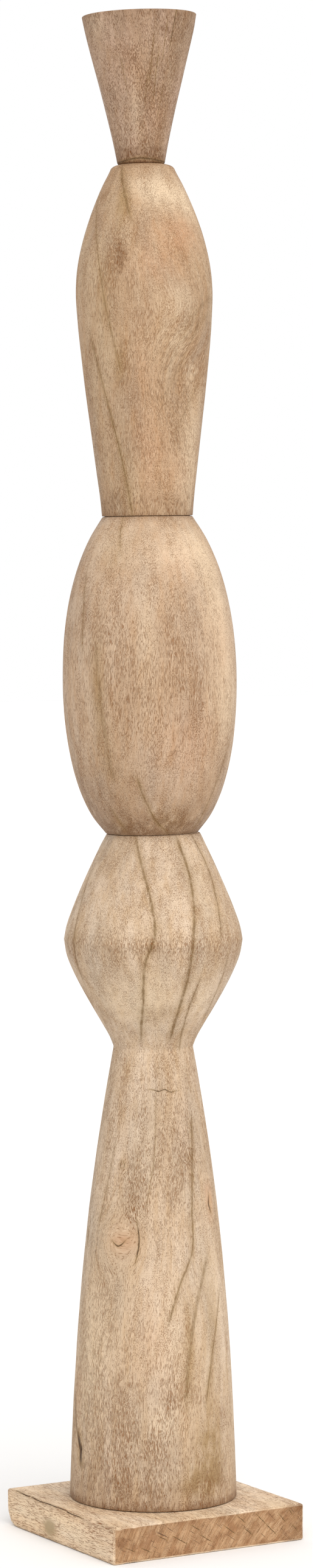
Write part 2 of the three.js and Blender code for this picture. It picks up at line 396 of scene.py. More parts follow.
def weather(piece, turning, dents=()):
    """Takes the block a hair out of round, as seasoned wood is, and sinks its knot holes."""
    points = points_of(piece.data)
    x, y, height = turning.local(points)
    radius = np.hypot(x, y)
    surface = surface_place(turning, points)
    skin = radius > BORE_LIMIT
    moved = np.zeros(len(points))
    for i in np.where(skin)[0]:
        moved[i] = WAVE_DEPTH * noise.noise(Vector(points[i]) / WAVE_LENGTH)
    for dent in dents:
        across, up = offsets_from(surface, dent.height, dent.degrees)
        moved -= dent.depth * MM * spot(np.hypot(across / dent.width, up / dent.tall)) * skin
    scale = 1 + moved / np.maximum(radius, BORE_LIMIT)
    moved_points = turning.world(x * scale, y * scale, height)
    piece.data.vertices.foreach_set("co", moved_points.ravel())
    piece.data.update()


# ======== Fields on the meshes, in millimetres and degrees ========

# A dark mineral line that runs up the wood: its route as (height above the floor, degrees round from the
# front to the right). width is half the width of its dark core. From a strength of 1 to 2 it turns black.
Line = namedtuple("Line", "width strength route")
# A line or band that runs round the wood: its route as (degrees, height).
Crack = namedtuple("Crack", "width strength route")
# A knot, which the fibres pass round, and a dent, by their middle and their half width and half height.
Knot = namedtuple("Knot", "height degrees width tall")
Dent = namedtuple("Dent", "height degrees width tall depth")
# A patch where the fibres run aslant, by this many degrees.
Slant = namedtuple("Slant", "height degrees width tall slant")
# A soft patch of some tone: (height, degrees, half width, half height, amount). Most are stained wood, but
# some brown ones are painted shade and some pale ones painted light. Of the roughness, an amount over 0 is
# open and streaky, and under 0 is close and smooth.

RIM_REACH = 2.6 * MM
LINE_FADE = 7  # over this length, or a third of it if it is short, a line fades in and out at its ends
FIELD_REACH = 40  # distances from a line are held to this
BLOCK_STEP = (131, 57, 211)  # how far apart in the tree the blocks were cut
BAND_STAIN_WIDTH = 34
BAND_STAIN_STEP = 60  # degrees


def surface_place(turning, points):
    """(degrees round from the front, height above the floor, radius) of points on a turned block."""
    x, y, _ = turning.local(points)
    heading = np.degrees(np.arctan2(y, x))
    degrees = (heading - FRONT_HEADING + 180) % 360 - 180
    return degrees, points[:, 2] / MM, np.hypot(x, y) / MM


def offsets_from(surface, height, degrees):
    """How far each point is across and up from a place on the surface."""
    at_degrees, at_height, radius = surface
    turn = (at_degrees - degrees + 180) % 360 - 180
    return np.radians(turn) * radius, at_height - height


def line_field(surface, line):
    """The distance from a line, its strength there and its width, at each point."""
    degrees, height, _ = surface
    starts, route = zip(*sorted(line.route))
    if isinstance(line, Line):
        at, fade_length = height, min(LINE_FADE, (starts[-1] - starts[0]) / 3)
        away, _ = offsets_from(surface, 0, glide(starts, route, height))
    else:
        at, fade_length = degrees, (starts[-1] - starts[0]) / 3
        away = height - glide(starts, route, degrees)
    fade = smoothstep(starts[0] - fade_length / 2, starts[0] + fade_length, at)
    fade = fade * (1 - smoothstep(starts[-1] - fade_length, starts[-1] + fade_length / 2, at))
    away = np.clip(away, -FIELD_REACH, FIELD_REACH)
    return away, fade * line.strength, np.full(len(height), line.width)


def soft_patch_field(surface, soft_patches):
    """How strong the patches of one tone are at each point."""
    total = np.zeros(len(surface[0]))
    for height, degrees, width, tall, amount in soft_patches:
        across, up = offsets_from(surface, height, degrees)
        total = total + amount * spot(np.hypot(across / width, up / tall))
    return np.clip(total, -1, 1)


def rim_field(turning, points, rims):
    """Darkening along a block's two edges, thinning out over a few millimetres: dirt, and painted shade at
    the seams.
    """
    height = turning.local(points)[2]
    return rims[0] * spot(height / RIM_REACH) + rims[1] * spot((turning.top - height) / RIM_REACH)


def grain_field(turning, points, surface, figure):
    """The place in the tree of each point: fibres bend round knots and run aslant in a slanted patch."""
    x, y, height = (value / MM for value in turning.local(points))
    radius = np.maximum(np.hypot(x, y), 1)
    shift = 2.5 * np.sin(height / 55 + np.radians(surface[0]) * 2 + figure.start)
    for knot in figure.knots:
        across, up = offsets_from(surface, knot.height, knot.degrees)
        shift = shift - 0.85 * across * spot(np.hypot(across / knot.width, up / knot.tall) / 1.8)
    for slant in figure.slants:
        across, up = offsets_from(surface, slant.height, slant.degrees)
        patch = spot(np.hypot(across / slant.width, up / slant.tall))
        shift = shift + math.tan(math.radians(slant.slant)) * up * patch
    east, north = x - shift * y / radius, y + shift * x / radius
    return [place + step * figure.start for place, step in zip((east, north, height), BLOCK_STEP)]


def store(mesh, name, *values):
    """Keeps a field on a mesh's points: one number each, or three."""
    kind, key = ("FLOAT", "value") if len(values) == 1 else ("FLOAT_VECTOR", "vector")
    numbers = np.stack(values, axis=1).astype(np.float32)
    mesh.attributes.new(name, kind, "POINT").data.foreach_set(key, numbers.ravel())


def end_grain(mesh, fibres):
    """1 where the surface is square across the fibres."""
    normals = np.empty(len(mesh.vertices) * 3)
    mesh.vertices.foreach_get("normal", normals)
    return smoothstep(0.85, 0.99, np.abs(normals.reshape(-1, 3) @ np.array(fibres)))


# What the eye finds on each block. start sets its place in the tree, and rims says how dark the edges of its
# foot and its top are, with dirt and with painted shade at the seams. Lines and knots come next, then soft
# patches of four tones and of roughness, where some brown ones are painted shade and some pale ones painted
# light, then slanted patches.
TRAITS = "start rims lines knots olive brown pink cream rough slants"
Figure = namedtuple("Figure", TRAITS, defaults=((),) * 8)


def all_round(height, tall, amount):
    """A soft band right round a block."""
    return [
        (height, degrees, BAND_STAIN_WIDTH, tall, amount) for degrees in range(-180, 180, BAND_STAIN_STEP)
    ]


def loop(height, degrees, wide, tall):
    """A thin dark ring, as two arcs. wide is in degrees."""
    low, high = height - tall, height + tall
    arcs = []
    for side in (-wide, wide):
        end = degrees + 0.3 * side
        arcs.append(Line(0.4, 1.5, ((low, end), (height, degrees + side), (high, end))))
    return arcs


LEG = Figure(
    start=1,
    rims=(1.0, 0.5),
    lines=(
        Line(1.0, 1.0, ((426, -22), (405, -9), (385, -1), (369, 1), (352, -5), (325, -9), (300, -17))),
        Line(1.2, 1.0, ((425, 29), (405, 33), (385, 31), (362, 26), (336, 25), (302, 22))),
        Line(0.9, 0.85, ((428, 53), (407, 60), (386, 55), (362, 48))),
        Line(0.9, 0.8, ((342, 36), (322, 34), (308, 36), (294, 42))),
        Line(0.7, 0.7, ((356, 57), (331, 62), (310, 66))),
        Line(0.6, 0.85, ((405, -75), (380, -66), (362, -62), (334, -66))),
        Line(0.4, 0.6, ((272, 3), (234, 1), (202, -7))),
        Line(0.9, 0.9, ((258, 48), (200, 37), (176, 34), (158, 22), (133, 11))),
        Line(0.8, 0.55, ((242, -43), (215, -49), (190, -56))),
        Line(1.8, 0.7, ((174, 51), (154, 40), (136, 33), (112, 27), (84, 24))),
        Line(0.6, 0.95, ((152, 66), (130, 56), (112, 49), (82, 40))),
        Line(0.4, 1.7, ((197, -15), (184, -12), (170, -15))),
        Line(0.7, 2.0, ((209, 62), (203, 63), (197, 63))),
        Line(0.7, 1.5, ((86, -78), (68, -71), (52, -62))),
        Line(2.0, 1.9, ((66, -67), (55, -63), (44, -60))),
        Line(0.9, 1.5, ((188, -77), (181, -76), (174, -77))),
        Crack(0.55, 1.6, ((-38, 183), (-31, 180), (-23, 184.5))),
        Crack(0.28, 1.8, ((-6, 273.4), (0, 273), (7, 272.2), (14, 273.2), (21, 271.6), (30, 272.4))),
        *loop(228, -32, 2.6, 2.6),
        Line(1.1, 0.7, ((415, 118), (370, 128), (330, 121), (303, 112))),
        Line(0.9, 0.8, ((420, -140), (380, -128), (345, -133), (300, -146))),
        Line(1.2, 0.7, ((250, 150), (190, 160), (130, 148), (60, 155))),
        Line(0.8, 0.8, ((210, -130), (150, -121), (90, -128), (40, -119))),
        *loop(120, 170, 4, 4),
    ),
    knots=(
        Knot(183, -27, 9, 8), Knot(203, 63, 3, 5), Knot(228, -32, 3, 3), Knot(62, -68, 4, 12),
        Knot(182, -77, 3, 5), Knot(120, 170, 6, 7),
    ),
    olive=(
        (54, 44, 12, 20, 1.3), (38, 34, 16, 8, 1.0), (95, 46, 7, 26, 0.55), (140, 52, 6, 28, 0.5),
        (120, 28, 3, 30, 0.5), (364, -64, 9, 8, 0.5), (385, 58, 9, 22, 0.3), (320, 12, 8, 5, 0.4),
        (90, -150, 12, 40, 0.4), (360, -130, 20, 10, 0.4),
    ),
    brown=(
        (206, -18, 6, 16, 0.6), (228, -32, 8, 9, 0.4), (240, 40, 8, 14, 0.35), (309, -30, 7, 5, 0.45),
        # The band at 24 mm is painted shade where the foot meets the board; the other low bands and patches
        # darken the leg towards its foot.
        (321, 12, 8, 4, 0.45), *all_round(356, 6, 0.25), *all_round(24, 3, 0.9),
        *all_round(34, 14, 0.25), (361, -1, 3.5, 4, 1.0), (361, 27, 3, 3, 0.8), (108, -55, 9, 34, 0.12),
        (88, -28, 12, 16, 0.45), (60, -14, 34, 16, 0.45), (34, -20, 40, 14, 0.5),
        (40, -75, 14, 14, 0.2), (190, 20, 30, 40, 0.22), (250, 10, 30, 30, 0.4), (405, 0, 40, 18, 0.35),
        (92, 12, 5, 12, 0.4), (75, 60, 8, 10, 0.35),
    ),
    pink=(
        (184, -26, 9, 8, 0.9), (209, 63, 5, 8, 0.9), (197, 60, 5, 6, 0.5), (120, 0, 12, 30, 0.3),
        (90, -72, 6, 14, 0.4), (120, 170, 7, 7, 0.6),
    ),
    cream=(
        (398, 12, 16, 16, 0.1), (400, 46, 8, 18, 0.45), (330, 0, 14, 16, 0.9), (328, -35, 14, 16, 0.7),
        (330, 45, 12, 14, 0.6), (76, 6, 7, 10, 0.6), (130, 12, 8, 30, 0.4), (230, -12, 8, 28, 0.25),
        (112, -56, 16, 44, 0.9), (160, 60, 10, 30, 0.4), (80, 80, 12, 40, 0.4),
    ),
    rough=(
        *all_round(362, 4, 0.45), (206, -18, 6, 18, 0.8), (235, 35, 10, 22, 0.4),
        (110, -60, 20, 45, 0.35), (60, -10, 40, 24, 0.55), (92, 12, 6, 14, 0.7), (184, -26, 8, 8, -0.9),
        (150, 50, 14, 55, -0.75), (60, 40, 14, 22, -0.6), (125, 8, 10, 26, -0.35),
        (400, 20, 24, 18, -0.4), (325, 0, 30, 16, -0.4), (165, 5, 16, 16, -0.3),
    ),
    slants=(Slant(150, 35, 14, 34, 14), Slant(165, -45, 12, 16, 24)),
)

BELLY = Figure(
    start=2,
    rims=(0.8, 0.6),
    lines=(
        Line(0.6, 0.75, ((619, -33), (606, -29), (595, -25))),
        Line(0.6, 0.7, ((584, -58), (557, -52), (534, -50))),
        Line(1.8, 0.5, ((542, -38), (513, -35), (486, -32), (458, -29))),
        Line(0.8, 0.95, ((463, -11), (446, -4), (433, 7), (426, 21))),
        Line(0.6, 0.75, ((443, -38), (427, -30))),
        Line(0.7, 0.65, ((480, 70), (458, 62), (446, 58), (425, 56))),
        Line(0.9, 0.7, ((600, 120), (560, 131), (500, 127), (450, 140))),
        Line(0.7, 0.7, ((580, -150), (540, -141), (480, -146), (440, -133))),
    ),
    olive=(
        (594, -30, 8, 12, 0.35), (505, -36, 6, 40, 0.5), (434, 20, 12, 8, 0.5), (430, -34, 8, 6, 0.4),
        (500, 160, 14, 40, 0.3),
    ),
    brown=(
        (606, 5, 14, 9, 0.3), (612, 60, 14, 6, 0.3), (505, -12, 10, 26, 0.35), (500, 26, 16, 22, 0.35),
        # The two bands round the bottom are painted shade under the belly.
        (432, 16, 14, 8, 0.35), *all_round(430, 12, 0.45), *all_round(452, 18, 0.3),
    ),
    pink=(
        (480, 30, 20, 24, 0.55), (540, 60, 12, 30, 0.4), (590, 25, 14, 14, 0.3),
    ),
    cream=(
        # The pale patches at 30 to 62 degrees are painted light on the belly's right side.
        (596, 30, 26, 14, 0.6), (570, 60, 14, 36, 1.0), (510, 62, 14, 34, 0.9), (545, -2, 6, 36, 0.45),
        (600, -40, 14, 12, 0.4),
    ),
    rough=(
        (545, -24, 13, 36, 0.5), (530, 20, 18, 36, 0.3), (590, 10, 40, 18, -0.2),
        (450, 10, 40, 18, -0.5), (605, 20, 40, 12, -0.3), (560, 66, 12, 40, -0.4),
    ),
)

TORSO = Figure(
    start=3,
    rims=(0.7, 0.3),
    lines=(
        Line(1.1, 0.85, ((825, -42), (806, -23), (790, -12))),
        Line(0.6, 0.65, ((810, -81), (790, -57), (765, -42), (735, -33), (701, -23))),
        Line(0.65, 0.85, ((724, -55), (688, -42), (655, -30), (614, -18))),
        Crack(2.0, 0.3, ((16, 684), (36, 708), (51, 727), (74, 738))),
        Crack(2.4, 0.26, ((30, 716), (44, 732), (62, 742), (84, 746))),
        Crack(1.8, 0.26, ((30, 664), (48, 684), (66, 702))),
        Line(0.8, 0.7, ((810, 150), (750, 161), (690, 157), (618, 170))),
        Line(0.7, 0.7, ((780, 112), (720, 119), (650, 114))),
        Line(1.2, 0.6, ((800, -120), (740, -129), (680, -125), (630, -133))),
    ),
    olive=(
        (802, -24, 4, 14, 0.7), (747, -36, 5, 26, 0.35), (706, -24, 4, 12, 0.5),
        (640, -24, 6, 24, 0.35),
    ),
    brown=(
        (768, -20, 4, 11, 1.0), (808, -62, 9, 12, 0.4), (730, 52, 1.3, 2.4, 1.0),
        (731, 67, 1.3, 3, 1.0), (700, -48, 8, 20, 0.3), *all_round(622, 9, 0.35), (660, 40, 8, 24, 0.3),
    ),
    pink=(
        (783, 38, 16, 11, 0.8), (765, 10, 16, 12, 0.5), (650, 5, 10, 24, 0.6), (700, 0, 8, 30, 0.35),
        (640, 40, 10, 14, 0.4),
    ),
    cream=(
        (806, 28, 16, 12, 1.0), (800, 62, 9, 14, 0.8), (744, 30, 12, 8, 0.4), (702, 48, 7, 6, 0.6),
        (718, 30, 5, 5, 0.4), (812, -10, 14, 6, 0.5), (650, 55, 11, 32, 0.9),
    ),
    rough=(
        (768, -20, 7, 16, 0.9), (705, 44, 14, 26, 0.6), (750, 10, 26, 22, -0.55),
        (790, 40, 16, 12, -0.5), (640, 0, 30, 20, -0.15),
    ),
    slants=(Slant(718, 44, 22, 34, -44),),
)

HEAD = Figure(
    start=4,
    rims=(1.6, 0.5),
    lines=(
        Line(0.3, 1.6, ((917, 41), (905, 39), (892, 38))),
        Line(0.3, 0.8, ((880, 12), (868, 9), (858, 8))),
        Line(0.22, 0.9, ((911, 31), (897, 30), (884, 29))),
        Line(0.25, 0.9, ((902, 17), (886, 15), (868, 13))),
        Line(0.2, 0.8, ((893, 24), (878, 22), (862, 21))),
        Line(0.2, 0.8, ((889, -24), (876, -21), (864, -18))),
        Line(0.22, 0.8, ((872, 36), (860, 33), (848, 30))),
        # A dark line just above the head's foot: painted shade in the seam's recess.
        Crack(0.6, 1.5, ((-140, 826.8), (-50, 826.8), (-8, 828.4), (22, 828.1), (55, 827.2), (140, 826.8))),
        Line(0.8, 0.6, ((905, 140), (870, 148), (835, 143))),
        Line(0.7, 0.6, ((900, -120), (860, -131), (832, -127))),
    ),
    brown=(
        # The bands at 827.6 and 831 mm are painted shade at the head's seam with the torso.
        (898, -9, 1.4, 1.2, 1.0), (880, 34, 5, 22, 0.2), (860, 12, 4, 20, 0.3), *all_round(831, 4, 0.5),
        *all_round(827.6, 1.6, 0.9), *all_round(908, 8, 0.35), (890, -14, 7, 18, 0.35),
    ),
    pink=(
        (880, -14, 10, 20, 0.4), (850, 30, 8, 16, 0.4),
    ),
    cream=((906, -50, 12, 8, 0.4), (862, -6, 3, 22, 0.35)),
    rough=(
        *all_round(868, 44, 0.22), (880, 30, 14, 30, 0.3), (860, 0, 8, 20, 0.2),
        (890, -34, 14, 22, -0.3),
    ),
)


def figure_block(piece, turning, figure):
    """Stores all of a block's fields on its mesh."""
    mesh = piece.data
    points = points_of(mesh)
    surface = surface_place(turning, points)
    tones = [soft_patch_field(surface, soft_patches) for soft_patches in (figure.olive, figure.brown, figure.pink)]
    faces = [soft_patch_field(surface, soft_patches) for soft_patches in (figure.rough, figure.cream)]
    store(mesh, "grain", *grain_field(turning, points, surface, figure))
    for i, line in enumerate(figure.lines):
        store(mesh, f"line_{i}", *line_field(surface, line))
    store(mesh, "tones", *tones)
    store(mesh, "faces", *faces, rim_field(turning, points, figure.rims))
    store(mesh, "end", end_grain(mesh, turning.axis))


# ======== Materials ========

def tint(code):
    """A colour from its six-figure code, as Blender's linear numbers."""
    channels = [int(code[i : i + 2], 16) / 255 for i in (0, 2, 4)]
    return (*[c / 12.92 if c <= 0.04045 else ((c + 0.055) / 1.055) ** 2.4 for c in channels], 1)


class Shading:
    """A material whose nodes are written as sums, products and mixes."""

    def __init__(self, name):
        self.material = bpy.data.materials.new(name)
        self.material.use_nodes = True
        self.tree = self.material.node_tree
        self.tree.nodes.clear()
        self.shader = self.node("ShaderNodeBsdfPrincipled")
        output = self.node("ShaderNodeOutputMaterial")
        self.tree.links.new(self.shader.outputs["BSDF"], output.inputs["Surface"])

    def node(self, kind, **settings):
        made = self.tree.nodes.new(kind)
        for key, value in settings.items():
            setattr(made, key, value)
        return made

    def feed(self, socket, value):
        if isinstance(value, bpy.types.NodeSocket):
            self.tree.links.new(value, socket)
        else:
            socket.default_value = value

    def math(self, operation, *values):
        made = self.node("ShaderNodeMath", operation=operation)
        for socket, value in zip(made.inputs, values):
            self.feed(socket, value)
        return made.outputs[0]

    def fold(self, operation, values):
        total = values[0]
        for value in values[1:]:
            total = self.math(operation, total, value)
        return total

    def add(self, *values):
        return self.fold("ADD", values)

    def times(self, *values):
        return self.fold("MULTIPLY", values)

    def most(self, *values):
        return self.fold("MAXIMUM", values)

    def ramp(self, value, low, high, to_low=0.0, to_high=1.0):
        made = self.node("ShaderNodeMapRange", interpolation_type="SMOOTHSTEP")
        names = ("Value", "From Min", "From Max", "To Min", "To Max")
        for name, given in zip(names, (value, low, high, to_low, to_high)):
            self.feed(made.inputs[name], given)
        return made.outputs["Result"]

    def mix(self, share, first, second):
        made = self.node("ShaderNodeMix", data_type="RGBA")
        colours = [socket for socket in made.inputs if socket.type == "RGBA"]
        self.feed(made.inputs[0], share)
        self.feed(colours[0], first)
        self.feed(colours[1], second)
        return next(socket for socket in made.outputs if socket.type == "RGBA")

    def coat(self, colour, *coats):
        """A colour under coats, each a share and another colour."""
        for share, other in coats:
            colour = self.mix(share, colour, other)
        return colour

    def number(self, name):
        return self.node("ShaderNodeAttribute", attribute_name=name).outputs["Fac"]

    def vector(self, name):
        return self.node("ShaderNodeAttribute", attribute_name=name).outputs["Vector"]

    def rest_of(self, share):
        return self.add(1, self.times(share, -1))

    def set(self, **inputs):
        """Sets the shader's own inputs, named with _ for each space."""
        for name, value in inputs.items():
            self.feed(self.shader.inputs[name.replace("_", " ")], value)

    def join(self, x, y, z):
        made = self.node("ShaderNodeCombineXYZ")
        for socket, value in zip(made.inputs, (x, y, z)):
            self.feed(socket, value)
        return made.outputs[0]

    def split(self, vector):
        made = self.node("ShaderNodeSeparateXYZ")
        self.feed(made.inputs[0], vector)
        return made.outputs

    def stretch(self, vector, sizes, start=0.0):
        """A vector measured in units of these sizes."""
        made = self.node("ShaderNodeVectorMath", operation="MULTIPLY_ADD")
        self.feed(made.inputs[0], vector)
        made.inputs[1].default_value = [1 / size for size in sizes]
        made.inputs[2].default_value = (start, start * 1.7, start * 2.3)
        return made.outputs[0]

    def noise(self, vector, sizes, detail=2.0, roughness=0.5, start=0.0):
        made = self.node("ShaderNodeTexNoise")
        self.feed(made.inputs["Vector"], self.stretch(vector, sizes, start))
        made.inputs["Scale"].default_value = 1
        made.inputs["Detail"].default_value = detail
        made.inputs["Roughness"].default_value = roughness
        return made.outputs[0]

    def cells(self, vector, sizes, start=0.0):
        """(distance from the middle of a cell, a random number for the cell)."""
        made = self.node("ShaderNodeTexVoronoi")
        self.feed(made.inputs["Vector"], self.stretch(vector, sizes, start))
        made.inputs["Scale"].default_value = 1
        return made.outputs["Distance"], self.split(made.outputs["Color"])[0]

    def raise_by(self, height, distance):
        """Bumps the surface by a height given in units of the distance."""
        made = self.node("ShaderNodeBump")
        made.inputs["Distance"].default_value = distance
        self.feed(made.inputs["Height"], height)
        self.tree.links.new(made.outputs["Normal"], self.shader.inputs["Normal"])


# The colours of a kind of wood, and how crowded and how dark its vessels are (0 to 1).
Look = namedtuple("Look", "pale tan warm grey vessel crowding depth")

FAR_PITH = (-160, 120, 0)  # millimetres, in the grain's own directions
FAR_REACH = 100  # how far the end grain is from the heart, in millimetres
HEAD_REACH = 20
BOARD_REACH = 150
FINE_VESSEL = (0.31, 4.2)  # how thick and long vessels are, in millimetres
HEAD_VESSEL = (0.32, 8)
BOARD_VESSEL = (0.36, 7.0)
SHORT_VESSEL = (0.32, 0.32, 0.9)  # the same where the surface cuts across them
WAVER = (1.6, 1.6, 0)  # how far vessels wander, in millimetres
RING_PERIOD = 7.0  # millimetres from one growth ring to the next
RELIEF = 0.17 * MM
WAX_SHINE = 0.25

VESSEL = tint("7a4e28")
BELLY_LOOK = Look(tint("b9a087"), tint("ad9175"), tint("a78360"), tint("9e8b79"), VESSEL, 0.5, 0.62)
LEG_LOOK = Look(tint("c9b39b"), tint("bba286"), tint("b1926e"), tint("ad9e8c"), VESSEL, 0.54, 0.6)
TORSO_LOOK = Look(tint("b3997b"), tint("a7896b"), tint("a17c57"), tint("95816e"), VESSEL, 0.52, 0.6)
HEAD_LOOK = Look(tint("af927c"), tint("a0846a"), tint("987758"), tint("92806f"), tint("6e4626"), 0.46, 0.62)
BOARD_LOOK = Look(tint("eed9bf"), tint("e0c6a4"), tint("d2ae89"), tint("cec1ad"), tint("7c4d2a"), 0.4, 0.62)

OLIVE = tint("6d532b")
OLIVE_STAIN = tint("8a6c3e")
BROWN = tint("6d4a2c")
# A pale creamy colour, partly painted light on the lit sides.
CREAM_AND_PAINTED_LIGHT = tint("dfc8a9")
PINK = tint("bd8a66")
# A painted highlight: the light side of the fibres, for an embossed look.
PAINTED_SHEEN = tint("e6cdb0")
FILLER = tint("9c8868")
END_PALE = tint("ba9773")
END_TAN = tint("a57f5b")
END_BROWN = tint("875c3a")
END_DARK = tint("5f4125")
KNOT_DARK = tint("38241a")


def wood_vessels(s, grain, crowding, rough, thick, length):
    """(short wavering dark vessels along the fibres, dots where the surface cuts them; their crowding)."""
    waver = s.node("ShaderNodeTexNoise")
    s.feed(waver.inputs["Vector"], s.stretch(grain, (2.5, 2.5, 6)))
    waver.inputs["Scale"].default_value = 1
    bent = s.node("ShaderNodeVectorMath", operation="MULTIPLY_ADD")
    s.feed(bent.inputs[0], waver.outputs["Color"])
    bent.inputs[1].default_value = WAVER
    s.feed(bent.inputs[2], grain)
    bent = bent.outputs[0]
    crowd = s.add(s.noise(grain, (9, 9, 34), detail=3, roughness=0.6, start=5), s.times(rough, 0.16))
    level = s.ramp(crowd, 0.25, 0.75, 0.68 - 0.2 * crowding, 0.565 - 0.2 * crowding)
    long = s.noise(bent, (thick, thick, length), detail=1.5, roughness=0.55, start=1)
    short = s.noise(bent, SHORT_VESSEL, detail=1.5, roughness=0.55, start=2)
    cut = s.add(s.noise(grain, (7, 7, 16), detail=2, start=9), s.times(rough, 0.3))
    cut = s.ramp(cut, 0.34, 0.54)
    both = s.add(s.times(long, cut), s.times(short, s.rest_of(cut)))
    return s.ramp(s.add(both, s.times(level, -1)), 0.0, 0.13), crowd


def round_the_pith(s, grain, pith):
    """(distance from the heart of the tree, angle round it) of each point."""
    offset = s.node("ShaderNodeVectorMath", operation="SUBTRACT")
    s.feed(offset.inputs[0], grain)
    offset.inputs[1].default_value = pith
    x, y, _ = s.split(offset.outputs[0])
    distance = s.math("SQRT", s.add(s.times(x, x), s.times(y, y)))
    return distance, s.math("ARCTAN2", y, x)


def growth_rings(s, grain, distance):
    """A soft saw of early and late wood round the heart of the tree."""
    wander = s.times(s.noise(grain, (14, 14, 90), detail=3, start=3), 1.6)
    return s.math("PINGPONG", s.add(s.times(distance, 1 / RING_PERIOD), wander), 0.5)


def end_face(s, grain, polar, reach):
    """Wood sawn across: fine streaks along the rings, and dark checks that run out from the heart."""
    distance, angle = polar
    place = s.join(distance, s.times(angle, reach), 0.0)
    streak = s.noise(place, (0.5, 6, 1), detail=3, roughness=0.65)
    band = s.noise(place, (2.4, 30, 1), detail=3, start=3)
    patch = s.noise(grain, (9, 9, 9), detail=3, start=5)
    check = s.noise(place, (20, 0.5, 1), detail=1, start=8)
    sparse = s.noise(place, (9, 5, 1), detail=2, start=13)
    checks = s.times(s.ramp(check, 0.66, 0.72), s.ramp(sparse, 0.46, 0.6))
    face = s.coat(
        END_PALE,
        (s.ramp(band, 0.35, 0.65), END_TAN),
        (s.times(s.ramp(patch, 0.48, 0.66), 0.6), END_BROWN),
        (s.times(s.ramp(streak, 0.48, 0.68), 0.62), END_DARK),
        (s.times(checks, 0.75), KNOT_DARK),
    )
    return face, checks


def mineral_lines(s, grain, count):
    """(the brown lines, their soft borders, the black of cracks) from the line fields."""
    waver = s.add(s.times(s.noise(grain, (3, 3, 8), detail=3, start=7), 1.8), -0.9)
    patchy = s.ramp(s.noise(grain, (2, 2, 7), detail=2, start=11), 0.3, 0.62, 0.6, 1)
    brown, border, black = 0.0, 0.0, 0.0
    for i in range(count):
        across, strength, width = s.split(s.vector(f"line_{i}"))
        wander = s.times(waver, width, 0.5)
        away = s.math("DIVIDE", s.math("ABSOLUTE", s.add(across, wander)), s.add(width, wander))
        core = s.ramp(away, 1.2, 0.2)
        shown = s.times(s.math("MINIMUM", strength, 1), patchy)
        brown = s.most(brown, s.times(core, shown))
        border = s.most(border, s.times(s.ramp(away, 4.2, 0.8), shown))
        black = s.most(black, s.times(core, s.ramp(strength, 1, 2), patchy))
    return brown, border, black


def wood(name, look, lines, pith, end_reach, vessel, filler=False):
    """Waxed wood with open vessels, growth rings, mineral lines and staining, with painted shade and painted
    light.
    """
    s = Shading(name)
    grain = s.vector("grain")
    olive, brown, pink = s.split(s.vector("tones"))
    rough, cream, rim = s.split(s.vector("faces"))
    end = s.number("end")
    broad = s.noise(grain, (26, 26, 90), detail=2)
    grey = s.noise(grain, (18, 18, 70), detail=2, start=21)
    middle = s.noise(grain, (5, 5, 34), detail=4, roughness=0.6, start=1)
    fibre = s.noise(grain, (0.4, 0.4, 8), detail=2, start=2)
    cloud = s.ramp(s.noise(grain, (4, 4, 12), detail=4, roughness=0.65, start=17), 0.28, 0.6)
    polar = round_the_pith(s, grain, pith)
    rings = growth_rings(s, grain, polar[0])
    vessels, crowd = wood_vessels(s, grain, look.crowding, rough, *vessel)
    face, checks = end_face(s, grain, polar, end_reach)
    line, border, black = mineral_lines(s, grain, lines)
    cloudy = s.ramp(cloud, 0, 1, 0.5, 1)

    colour = s.coat(
        look.pale,
        (s.ramp(broad, 0.32, 0.68), look.tan),
        (s.times(s.ramp(middle, 0.42, 0.72), 0.6), look.warm),
        (s.times(s.ramp(rings, 0.28, 0.5), 0.2), look.warm),
        (s.times(s.ramp(grey, 0.45, 0.7), 0.4), look.grey),
        (s.times(s.ramp(crowd, 0.45, 0.75), 0.25), look.warm),
        # pale patches, partly painted light on the lit sides of the blocks and the board
        (s.times(cream, 0.6), CREAM_AND_PAINTED_LIGHT),
        (s.times(pink, cloudy, 0.5), PINK),
        (s.times(s.ramp(fibre, 0.5, 0.75), 0.22), look.vessel),
        # painted highlight on the light side of the fibres
        (s.times(s.ramp(fibre, 0.5, 0.25), 0.3), PAINTED_SHEEN),
        (end, face),
        (s.times(olive, cloudy, 0.75), OLIVE_STAIN),
        # brown staining, partly painted shade at seams, under the belly, at the leg's foot and on the board's
        # top
        (s.times(brown, cloud, 0.5), BROWN),
        # darkening at the ends of each block and along the board's top edges: dirt, and painted shade at the
        # seams
        (s.times(rim, s.ramp(cloud, 0, 0.8, 0.5, 1), 0.5), BROWN),
        (s.times(border, 0.32), OLIVE_STAIN),
        (s.times(line, 0.74), OLIVE),
    )
    depth = s.add(look.depth, s.times(brown, 0.25), s.times(rough, 0.14))
    seen = s.times(vessels, depth)
    if filler:
        filled = s.number("filler")
        colour = s.mix(s.times(filled, 0.85), colour, FILLER)
        seen = s.times(seen, s.rest_of(filled))
    turning_mark = s.ramp(s.noise(grain, (60, 60, 0.4), detail=1, start=19), 0.5, 0.75)
    colour = s.coat(
        colour,
        (seen, look.vessel),
        (s.times(black, 0.85), KNOT_DARK),
        (s.times(turning_mark, 0.07), look.vessel),
    )
    roughness = s.add(0.6, s.times(vessels, 0.2), s.times(middle, 0.12))
    s.set(Base_Color=colour, Roughness=roughness, Specular_IOR_Level=WAX_SHINE)
    fine = s.times(s.noise(grain, (0.3, 0.3, 6), start=4), 0.35)
    open_crack = s.times(s.most(black, s.times(checks, end)), -2.0)
    s.raise_by(s.add(fine, s.times(seen, -1.4), s.times(turning_mark, -0.2), open_crack), RELIEF)
    return s.material


